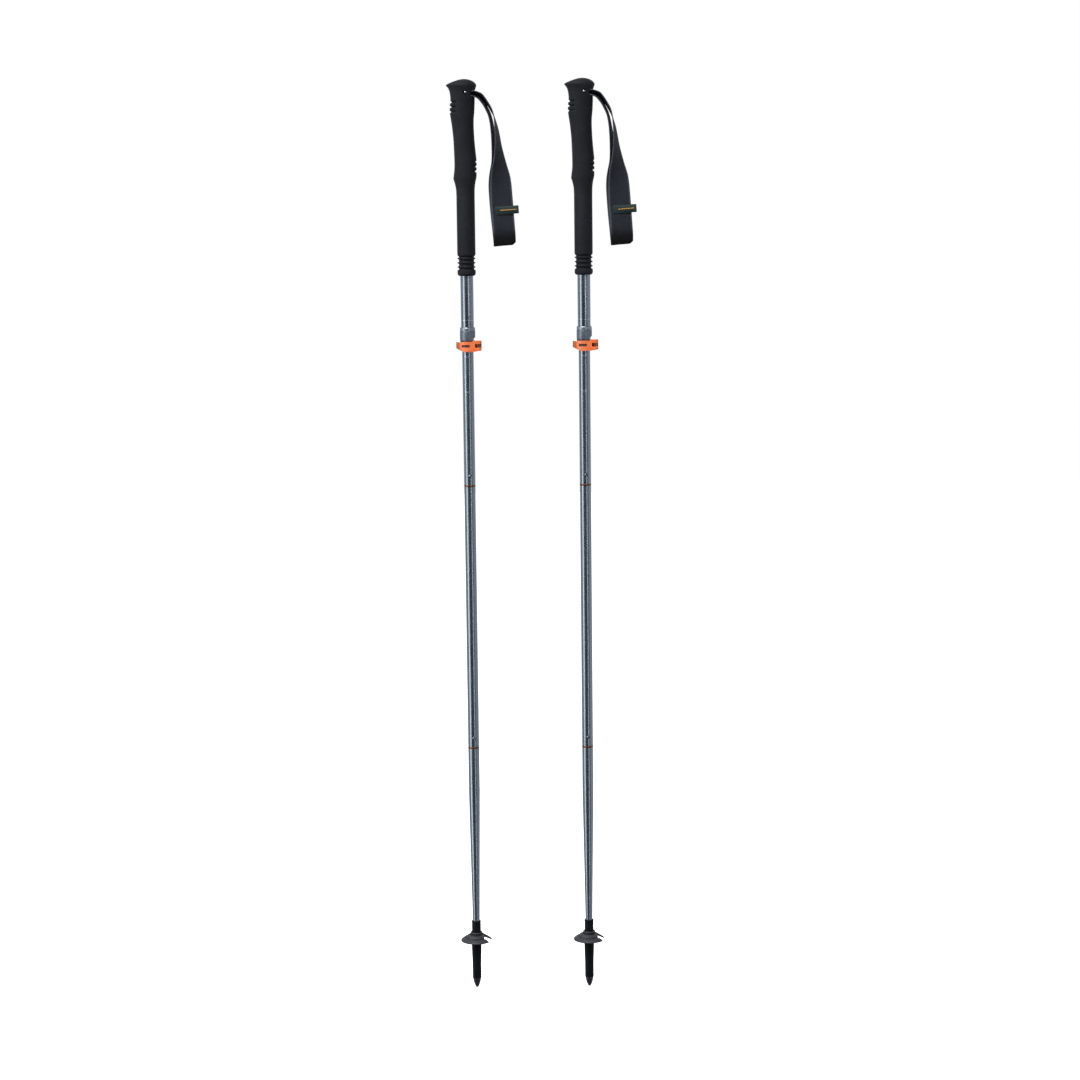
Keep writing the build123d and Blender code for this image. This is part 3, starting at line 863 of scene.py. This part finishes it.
def label_mesh():
    """The woven tab across the loop: dark cloth, a raised gold line and its sewn end."""
    low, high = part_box("left_strap_label")
    left = (low.x - AXIS["left"]) / MM
    right = (high.x - AXIS["left"]) / MM
    back, front = high.y / MM, low.y / MM
    middle = (low.z + high.z) / 2 / MM - 0.9
    cloth = tilted_slab(
        (left + 0.3, right - 0.3), (front + 0.35, back), (middle - 5.6, middle + 5.6), 0.8
    )
    cloth.materials.append(LABEL)
    line = tilted_slab(
        (left + 7.2, right - 3.4), (front, front + 0.5), (middle - 0.1, middle + 1.2), 0.5
    )
    line.materials.append(THREAD)
    rows = []
    for x in (left + 1.6, left + 2.9):
        row = stitch_row((x, middle - 4.8), (x, middle + 4.8), 5, front + 0.32)
        row.materials.append(LABEL)
        rows.append(row)
    return joined("strap_label", cloth, line, *rows)


for side in SIDES:
    band = webbing_mesh()
    band.materials.append(WEBBING)
    band.transform(Matrix.Translation((AXIS[side], 0, 0)))
    loop = shown(f"{side}_wrist_strap-look", band)
    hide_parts(f"{side}_strap", f"{side}_strap_root")
    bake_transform(loop)

place("strap_label", label_mesh(), "strap", "label")


# Upper tube and clamp

LEVER_PIN = Vector((15, -9, 0))  # where the upright pin stands


def tube_mesh(node, radius, bore):
    """A round tube, as long as its CAD node."""
    low, high = heights(node)
    return lathe(node, [(bore, low), (radius, low), (radius, high), (bore, high)], 0.25)


def collar_mesh():
    """The grey sleeve: a bevelled top ring, a shallow step and its slanted lower corner."""
    low, high = heights("collar")
    outline = [(9.02, low), (10.75, low), (10.75, high - 5.2), (10.35, high - 5.0)]
    outline += [(10.35, high - 4.6), (10.75, high - 4.3), (10.55, high - 0.9), (9.9, high)]
    outline += [(9.02, high)]
    sleeve = lathe("collar", outline, 0.2)
    slant = [(3.5, low - 1), (13.0, low - 1), (13.0, low + 5.6), (3.9, low + 0.2)]
    sleeve = cut(sleeve, prism(slant, -15.0, 15.0))
    ring_foot = high - 4.8
    # Faces above the ring's foot take the paler material, which is a painted highlight.
    return shared_out(sleeve, lambda middle: int(middle.z > ring_foot))


def lever_mesh():
    """The curved lever, whose finger pocket and rough thumb end have materials of their own, painted
    darker as shade.
    """
    left, right, low, high = -8.1, 3.1, 930.3, 933.9
    front, face_reach, thumb = -9.0, 13.9, -11.4

    def region(middle):
        # The pocket's faces and the thumb end's faces take darker materials, which are painted
        # shade.
        pocket = left < middle.x < right and low < middle.z < high and middle.y < front
        if pocket and Vector(middle.xy).length < face_reach:
            return 1
        return 2 if middle.x < thumb else 0

    return shared_out(bevelled("clamp_lever", 0.35), region)


def lever_pin_mesh():
    """The upright lever pin, with domed ends."""
    low, high = heights("lever_pin")
    outline = [(0.0, low), (0.8, low), (1.25, low + 0.4)]
    outline += [(1.25, high - 0.4), (0.8, high), (0.0, high)]
    return lathe("lever_pin", outline, 0.15, 32, Matrix.Translation(LEVER_PIN * MM))


place("upper_tube", tube_mesh("upper_tube", UPPER_R, 8.08), "handle", "anodised_tube", RULED_TUBE)
place("collar", collar_mesh(), "handle", "collar_plastic", COLLAR, COLLAR_RING_HIGHLIGHT)
place("clamp_band", bevelled("clamp_band", 0.3), "handle", "band_plastic", BAND)
# The tension screw's bronze tint is a painted reflection of the orange lever.
place("tension_screw", bevelled("tension_screw", 0.2), "handle", "steel", BRONZE_REFLECTION)
place("lever_pin", lever_pin_mesh(), "handle", "steel", STEEL)
place("barrel_nut", bevelled("barrel_nut", 0.25), "handle", "steel", STEEL)
place("clamp_lever", lever_mesh(), "lever", "lever_orange", LEVER, POCKET_SHADE, THUMB_SHADE)


# Shafts and joints


def drilled(mesh, joint):
    """The tube or spigot with its snap button's hole in front."""
    return cut(mesh, bar(0.0, joint + BUTTON_RISE, 2.7, -10.0, -3.0))


def shaft_c_mesh():
    """The lowest tube: straight, then tapered into the tip sleeve."""
    low, high = heights("shaft_c")
    outline = [(4.15, low), (5.15, low), (5.15, 100.0), (SHAFT_R, 290.0), (SHAFT_R, high)]
    outline += [(SHAFT_BORE, high), (SHAFT_BORE, 290.0), (4.15, 100.0)]
    return lathe("shaft_c", outline, 0.25)


def spigot_mesh(joint):
    """The sleeve that plugs into the tube above, with lead-in chamfers and a register below."""
    top = joint + SPIGOT_RISE
    outline = [(4.9, joint - 4.1), (5.8, joint - 4.1), (6.1, joint - 3.7), (6.1, joint)]
    outline += [(6.93, joint), (6.93, joint + 34.6), (6.4, top), (5.9, top)]
    outline += [(5.9, joint + 3.0), (4.9, joint + 3.0)]
    return drilled(lathe("spigot", outline, 0.15), joint)


def button_mesh(joint):
    """The snap button: a full dome through the hole, on its curved leaf spring."""
    height = joint + BUTTON_RISE
    outline = [(0.0, -9.0), (0.9, -8.85), (1.7, -8.35), (2.2, -7.6), (2.36, -6.8)]
    outline += [(2.36, -5.2), (0.0, -5.2)]
    dome = lathe("dome", outline, 0.0, 40, turned_to_y(0.0, height))
    corners = ((5.8, height - 2.4), (5.8, height + 2.4), (5.3, height + 2.4), (5.3, height - 2.4))
    angles = [radians(-165 + 150 * n / 24) for n in range(25)]
    leaf = ring_mesh("leaf", [[(r * cos(a), r * sin(a), z) for r, z in corners] for a in angles])
    made = joined("snap_button", dome, leaf)
    made.materials.clear()
    return shared_out(made, lambda middle: 0)


def ring_shape(joint):
    """The coloured ring between two tubes, and the bush in the lower tube's mouth."""
    outline = [(6.6, joint - 16.0), (6.98, joint - 16.0), (6.98, joint - 2.1), (8.0, joint - 2.1)]
    outline += [(8.15, joint - 1.8), (8.15, joint - 0.4), (8.0, joint - 0.1), (6.6, joint - 0.1)]
    return lathe("joint_ring", outline, 0.15)


def anchor_mesh():
    """The plug that the cord hangs from, with a waist round its middle."""
    low, high = heights("cord_anchor")
    outline = [(1.35, low), (6.95, low), (6.95, low + 3.5), (6.3, low + 4.5), (6.3, high - 4.5)]
    outline += [(6.95, high - 3.5), (6.95, high), (1.35, high)]
    return lathe("cord_anchor", outline, 0.3)


for shaft, number, paint in (("shaft_a", 1, SCALE_TUBE), ("shaft_b", 2, PLAIN_TUBE)):
    tube = drilled(tube_mesh(shaft, SHAFT_R, SHAFT_BORE), JOINTS[number])
    place(shaft, tube, shaft, "anodised_tube", paint)
place("shaft_c", shaft_c_mesh(), "shaft_c", "anodised_tube", PLAIN_TUBE)
place("cord_anchor", anchor_mesh(), "shaft_a", "band_plastic", BAND)
for number, holder in ((1, "shaft_b"), (2, "shaft_c")):
    joint = JOINTS[number]
    spigot = f"spigot_{number}"
    place(spigot, spigot_mesh(joint), spigot, "spigot_metal", SPIGOT)
    button = f"snap_button_{number}"
    place(button, button_mesh(joint), f"button_{number}", "steel", DARK_STEEL)
    ring = f"joint_ring_{number}"
    place(ring, ring_shape(joint), holder, "ring_orange", RING)


# Elastic cord, inside the tubes

CORD_R = 1.25
CORD_SIDES = 16
CORD_HIGH = heights("cord_anchor")[1]
CORD_FOOT, CORD_SPLIT = heights("cord_2")
CORD_LOW = CORD_FOOT + 4.0  # above its last knot


def cord_mesh(high, low, joint):
    """A straight run of braided cord between two heights, with short steps where it bends."""
    shape = bmesh.new()
    lengths = shape.loops.layers.uv.new("length")
    heights = [high]
    while heights[-1] > low + 0.01:
        near = abs(heights[-1] - joint + 5.0) < 9.0
        heights.append(max(low, heights[-1] - (0.4 if near else 1.5)))
    rows = len(heights) - 1
    rings = []
    for z in heights:
        ring = [Vector((CORD_R * cos(a), CORD_R * sin(a), z)) * MM for a in circle(CORD_SIDES)]
        rings.append([shape.verts.new(point) for point in ring])
    for k in range(rows):
        for n in range(CORD_SIDES):
            m = (n + 1) % CORD_SIDES
            face = shape.faces.new([rings[k][n], rings[k][m], rings[k + 1][m], rings[k + 1][n]])
            spots = ((n, k), (n + 1, k), (n + 1, k + 1), (n, k + 1))
            for loop, (u, v) in zip(face.loops, spots):
                loop[lengths].uv = (u * pi / 4, (high - heights[v]) * 2.4)
    for ring in (rings[0], rings[-1]):
        shape.faces.new(ring)
    bmesh.ops.recalc_face_normals(shape, faces=shape.faces)
    return finished(meshed("cord", shape), 50.0)


def knot_mesh(name, low):
    """A tight stopper knot: three turns of the cord wound round itself."""
    line = bpy.data.curves.new(name, "CURVE")
    line.dimensions = "3D"
    line.bevel_depth = 0.75 * MM
    line.bevel_resolution = 4
    spline = line.splines.new("NURBS")
    last = 47
    spline.points.add(last)
    for n in range(last + 1):
        a = 2 * pi * 3 * n / last
        reach = 1.75 - 0.5 * cos(a / 3)
        height = low + 2.0 + 1.2 * sin(a * 2 / 3)
        spline.points[n].co = (reach * cos(a) * MM, reach * sin(a) * MM, height * MM, 1)
    spline.order_u = 3
    spline.use_endpoint_u = True
    line.use_fill_caps = True
    return finished(evaluated(shown(name, line)), 60.0)


def cord_run(side, part, joint, high, low, node=None):
    """A run of cord from one height to another."""
    mesh = cord_mesh(high, low, joint)
    mesh.materials.append(CORD)
    mesh.transform(Matrix.Translation((AXIS[side], 0, 0)))
    piece = shown(f"{side}_{part}-look", mesh)
    if node:
        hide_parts(f"{side}_{node}")
    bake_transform(piece)


for side in SIDES:
    for number, above, below, top, foot in (
        (1, "shaft_a", "shaft_b", CORD_HIGH, CORD_SPLIT),
        (2, "shaft_b", "shaft_c", CORD_SPLIT, CORD_LOW),
    ):
        joint = JOINTS[number]
        spigot = f"spigot_{number}"
        rise = joint + 6.0
        cord = f"cord_{number}"
        bodies, ends = (above, spigot), (top, rise)
        cord_run(side, f"{cord}_upper", joint, top, rise, cord)
        bodies, ends = (spigot, below), (joint + 2.0, joint - 12.0)
        # The second joint folds the other way, so its bodies and ends are listed in reverse.
        if number == 2:
            bodies, ends = bodies[::-1], ends[::-1]
        cord_run(side, f"{cord}_lower", joint, rise, foot)
place("cord_knot_1", knot_mesh("cord_knot_1", CORD_HIGH), "shaft_a", "cord", CORD)
place("cord_knot_2", knot_mesh("cord_knot_2", CORD_FOOT), "shaft_c", "cord", CORD)


# Tip and basket


def sleeve_mesh():
    """The moulded lower end, with a rounded mouth and the flange that the basket sits on."""
    outline = [(3.5, 14.4), (6.35, 14.4), (6.35, 34.4), (7.1, 59.0), (7.1, 70.8), (6.5, 70.8)]
    outline += [(6.5, 75.9), (6.9, 76.4), (6.9, 77.0), (6.5, 77.5), (6.5, 97.4), (6.75, 98.0)]
    outline += [(6.75, 99.3), (6.3, 99.9), (5.17, 99.9), (5.17, 55.0), (3.5, 50.0)]
    return lathe("tip_sleeve", outline, 0.3)


def ferrule_mesh():
    """The cone that holds the point, with fine turned steps."""
    outline = [(0.0, 1.8), (2.4, 1.8), (2.75, 2.3), (3.7, 4.3), (4.5, 7.0), (4.7, 7.2), (5.25, 10.0)]
    outline += [(5.75, 12.6), (5.95, 12.8), (6.1, 14.3), (3.5, 14.3), (3.5, 30.0), (0.0, 30.0)]
    return lathe("tip_ferrule", outline, 0.2)


def carbide_mesh():
    """The hard point, hollowed at its end, with sixteen ground flutes."""
    rings = [[(0, 0, 0.9)]]
    for r, z in ((0.7, 0.75), (1.4, 0.15), (1.75, 0.0), (2.1, 0.2), (2.3, 1.0), (2.3, 5.0)):
        flute = 0.14 if r > 1.6 else 0.0
        ring = [(a, r - flute * cos(8 * a) ** 2) for a in circle(64)]
        rings.append([(reach * cos(a), reach * sin(a), z) for a, reach in ring])
    return ring_mesh("carbide_tip", rings, sharp=40.0)


NOTCH_WIDTH = 15.5
NOTCH_INNER = 11.2
BASKET_TURN = {"left": -15.5, "right": -10.0}  # degrees


def basket_mesh():
    """The umbrella basket: hub, stepped cone and a rounded notch."""
    outline = [(6.58, 71.0), (8.9, 71.0), (8.9, 76.4), (14.6, 73.2), (21.4, 70.0), (22.5, 70.1)]
    outline += [(22.5, 71.3), (21.8, 72.1), (18.0, 74.9), (17.2, 75.0), (16.6, 73.9), (15.2, 74.1)]
    outline += [(14.8, 76.7), (14.2, 77.4), (11.2, 79.2), (10.4, 79.1), (9.8, 77.7), (8.2, 78.0)]
    outline += [(8.1, 80.6), (8.9, 81.2), (8.9, 82.3), (8.3, 83.0), (7.0, 83.0), (6.58, 82.6)]
    cone = lathe("basket", outline, 0.3, 144)
    notch = NOTCH_WIDTH / 2
    reach = NOTCH_INNER + notch
    turn = [radians(90 + 180 * n / 32) for n in range(33)]
    shape = [(reach + notch * cos(a), notch * sin(a)) for a in turn]
    shape += [(30.0, -notch), (30.0, notch)]
    cutter = ring_mesh("notch", [[(x, y, z) for x, y in shape] for z in (60.0, 90.0)])
    return cut(cone, cutter)


place("tip_sleeve", sleeve_mesh(), "shaft_c", "tip_plastic", SLEEVE)
place("tip_ferrule", ferrule_mesh(), "shaft_c", "ferrule_metal", FERRULE)
place("carbide_tip", carbide_mesh(), "shaft_c", "carbide", CARBIDE)

for side in SIDES:
    basket = basket_mesh()
    basket.transform(Matrix.Rotation(radians(BASKET_TURN[side]), 4, "Z"))
    place("basket", basket, "basket", "basket_plastic", BASKET, sides=[side])


# Stage, light and camera


def floor():
    """A plain pale floor under the points."""
    shape = bmesh.new()
    bmesh.ops.create_grid(shape, x_segments=1, y_segments=1, size=1.0)
    mesh = meshed("floor", shape)
    mesh.transform(Matrix.Diagonal((6.0, 6.0, 1, 1)))
    made = shown("floor", mesh)
    glow = {"Emission_Color": (1, 1, 1, 1), "Emission_Strength": 1.0}
    pale = {"Base_Color": (0.92, 0.92, 0.92, 1), "Roughness": 0.9, "Specular_IOR_Level": 0.1}
    mesh.materials.append(Finish("floor", **pale, **glow).material)
    made.visible_diffuse = made.visible_glossy = False


def soft_box(name, place_at, aim, size, power):
    """An area light that faces a point."""
    light = bpy.data.lights.new(name, "AREA")
    light.shape = "RECTANGLE"
    light.size, light.size_y = size
    light.energy = power
    made = shown(name, light)
    made.location = place_at
    way = Vector(aim) - Vector(place_at)
    made.rotation_euler = way.to_track_quat("-Z", "Y").to_euler()
    made.visible_camera = False


def surroundings():
    """White where the camera looks; for light and reflections, dark in front and pale behind."""
    world = bpy.data.worlds.new("studio")
    bpy.context.scene.world = world
    world.use_nodes = True
    nodes, links = world.node_tree.nodes, world.node_tree.links
    sky = nodes["Background"]
    seen = nodes.new("ShaderNodeBackground")
    seen.inputs["Color"].default_value = (1, 1, 1, 1)
    way = nodes.new("ShaderNodeSeparateXYZ")
    links.new(nodes.new("ShaderNodeTexCoord").outputs["Generated"], way.inputs[0])
    shade = nodes.new("ShaderNodeMapRange")
    for socket, value in (("From Min", -0.4), ("From Max", 0.6), ("To Min", 0.1), ("To Max", 0.75)):
        shade.inputs[socket].default_value = value
    links.new(way.outputs["Y"], shade.inputs["Value"])
    links.new(shade.outputs["Result"], sky.inputs["Strength"])
    sky.inputs["Color"].default_value = (0.93, 0.96, 1.0, 1)
    pick = nodes.new("ShaderNodeMixShader")
    links.new(nodes.new("ShaderNodeLightPath").outputs["Is Camera Ray"], pick.inputs["Fac"])
    links.new(sky.outputs[0], pick.inputs[1])
    links.new(seen.outputs[0], pick.inputs[2])
    links.new(pick.outputs[0], nodes["World Output"].inputs["Surface"])


def camera():
    """Looking a little down from the grips' height, tipped so that the poles lean left."""
    view = bpy.data.cameras.new("camera")
    view.sensor_width = 36.0
    away, pitch, roll = 3.4, radians(8.0), radians(0.62)
    aim = Vector((-0.008, 0, 0.656))
    frame_height = 1.532
    view.lens = view.sensor_width * away / frame_height
    made = shown("camera", view)
    back = Vector((0, -cos(pitch), sin(pitch)))
    made.location = aim + back * away
    made.rotation_mode = "QUATERNION"
    level_view = (-back).to_track_quat("-Z", "Y")
    made.rotation_quaternion = level_view @ Quaternion((0, 0, 1), -roll)
    bpy.context.scene.camera = made


floor()
surroundings()
soft_box("strip_left", (-1.75, -0.97, 0.75), (0, 0, 0.65), (0.92, 3.0), 22)
soft_box("strip_right", (0.97, -1.75, 0.75), (0, 0, 0.65), (0.36, 3.0), 7)
soft_box("wide_right", (1.9, -0.45, 0.75), (0, 0, 0.65), (1.5, 3.0), 6)
soft_box("high_front", (-1.2, -2.4, 4.2), (0, 0, 0.7), (2.4, 1.4), 210)
camera()
bpy.context.scene.view_settings.view_transform = "Standard"

bpy.context.view_layer.update()
